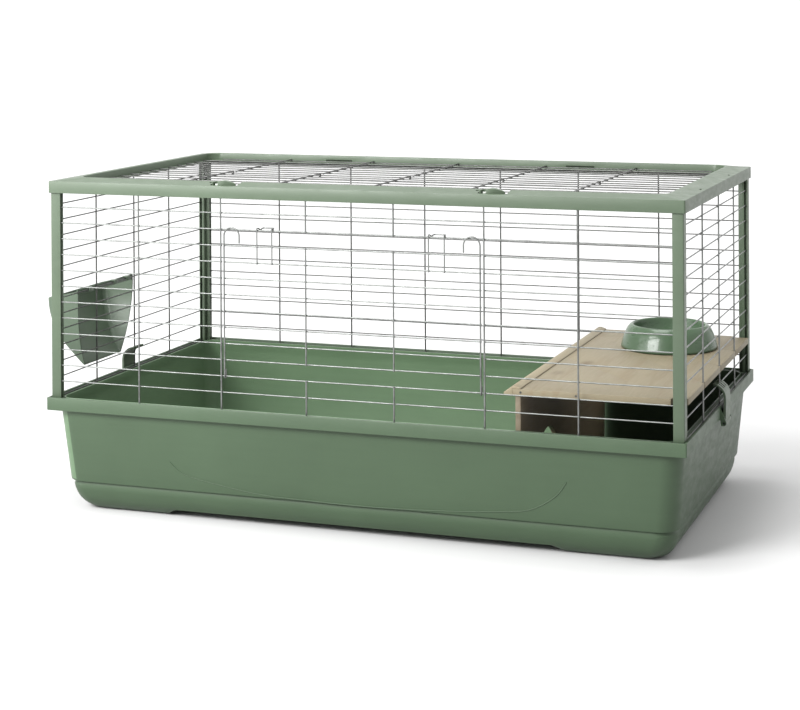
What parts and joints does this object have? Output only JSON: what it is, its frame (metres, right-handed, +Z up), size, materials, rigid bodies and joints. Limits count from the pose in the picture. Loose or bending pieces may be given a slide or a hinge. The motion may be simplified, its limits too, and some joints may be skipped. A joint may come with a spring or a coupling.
{
  "type": "wire rabbit cage",
  "caption": "Wire rabbit cage with a moulded tray and roof frame, drop-down front door, hinged roof door, end clips, hay rack, wooden shelf and feeding bowl.",
  "frame": {"origin": "on the floor, under the middle of the whole outline (rack and clips included)", "axes": "+X to the right-hand end, along the longest extent; -Y is the front with the drop-down door; +Z up"},
  "size_m": [1.083, 0.575, 0.5294],
  "materials": {
    "tray_plastic": "moulded sage green polypropylene, fine satin grain",
    "frame_plastic": "moulded lighter sage green polypropylene, satin",
    "wire": "bright zinc-plated drawn wire",
    "pine": "planed unvarnished pine",
    "bowl_plastic": "glossy moulded green plastic"
  },
  "bodies": {
    "cage": {"base_tray": "tray_plastic", "post_front_left": "frame_plastic", "post_front_right": "frame_plastic", "post_back_left": "frame_plastic", "post_back_right": "frame_plastic", "top_frame": "frame_plastic", "front_panel": "wire", "back_panel": "wire", "left_panel": "wire", "right_panel": "wire", "roof_grid": "wire", "latch_pins": "frame_plastic", "clip_pins": "wire"},
    "front_door": {"front_door": "wire"},
    "door_catch_left": {"door_catch_left": "wire"},
    "door_catch_right": {"door_catch_right": "wire"},
    "roof_door": {"roof_door": "wire"},
    "roof_latch_left": {"roof_latch_left": "frame_plastic"},
    "roof_latch_right": {"roof_latch_right": "frame_plastic"},
    "tray_clip_left": {"tray_clip_left": "frame_plastic"},
    "tray_clip_right": {"tray_clip_right": "frame_plastic"},
    "hay_rack": {"hay_rack": "tray_plastic"},
    "shelf": {"shelf_board": "pine", "shelf_edge_strip": "pine", "shelf_side_panel": "pine", "shelf_screws": "wire"},
    "bowl": {"bowl": "bowl_plastic"}
  },
  "joints": [
    {"name": "front_door_hinge", "type": "hinge", "parent": "cage", "child": "front_door", "pos_m": [0.02255, -0.2749, 0.23075], "axis": [1, 0, 0], "range_deg": [0, 160]},
    {"name": "door_catch_left_flex", "type": "hinge", "parent": "front_door", "child": "door_catch_left", "pos_m": [-0.11535, -0.27765, 0.43275], "axis": [1, 0, 0], "range_deg": [0, 8], "stiffness_Nm_per_rad": 0.2},
    {"name": "door_catch_right_flex", "type": "hinge", "parent": "front_door", "child": "door_catch_right", "pos_m": [0.16045, -0.27765, 0.43275], "axis": [1, 0, 0], "range_deg": [0, 8], "stiffness_Nm_per_rad": 0.2},
    {"name": "roof_door_hinge", "type": "hinge", "parent": "cage", "child": "roof_door", "pos_m": [0.02255, 0, 0.515], "axis": [-1, 0, 0], "range_deg": [0, 170]},
    {"name": "roof_latch_left_turn", "type": "hinge", "parent": "cage", "child": "roof_latch_left", "pos_m": [-0.19945, -0.265, 0.5195], "axis": [0, 0, 1], "range_deg": [0, 90]},
    {"name": "roof_latch_right_turn", "type": "hinge", "parent": "cage", "child": "roof_latch_right", "pos_m": [0.23155, -0.265, 0.5195], "axis": [0, 0, 1], "range_deg": [0, 90]},
    {"name": "tray_clip_left_swing", "type": "hinge", "parent": "cage", "child": "tray_clip_left", "pos_m": [-0.49245, 0, 0.155], "axis": [0, -1, 0], "range_deg": [0, 120]},
    {"name": "tray_clip_right_swing", "type": "hinge", "parent": "cage", "child": "tray_clip_right", "pos_m": [0.53755, 0, 0.155], "axis": [0, 1, 0], "range_deg": [0, 120]},
    {"name": "hay_rack_lift", "type": "slide", "parent": "cage", "child": "hay_rack", "axis": [0, 0, 1], "range_m": [0, 0.012]},
    {"name": "shelf_lift", "type": "slide", "parent": "cage", "child": "shelf", "axis": [0, 0, 1], "range_m": [0, 0.018]},
    {"name": "bowl_lift", "type": "slide", "parent": "shelf", "child": "bowl", "axis": [0, 0, 1], "range_m": [0, 0.15]}
  ]
}
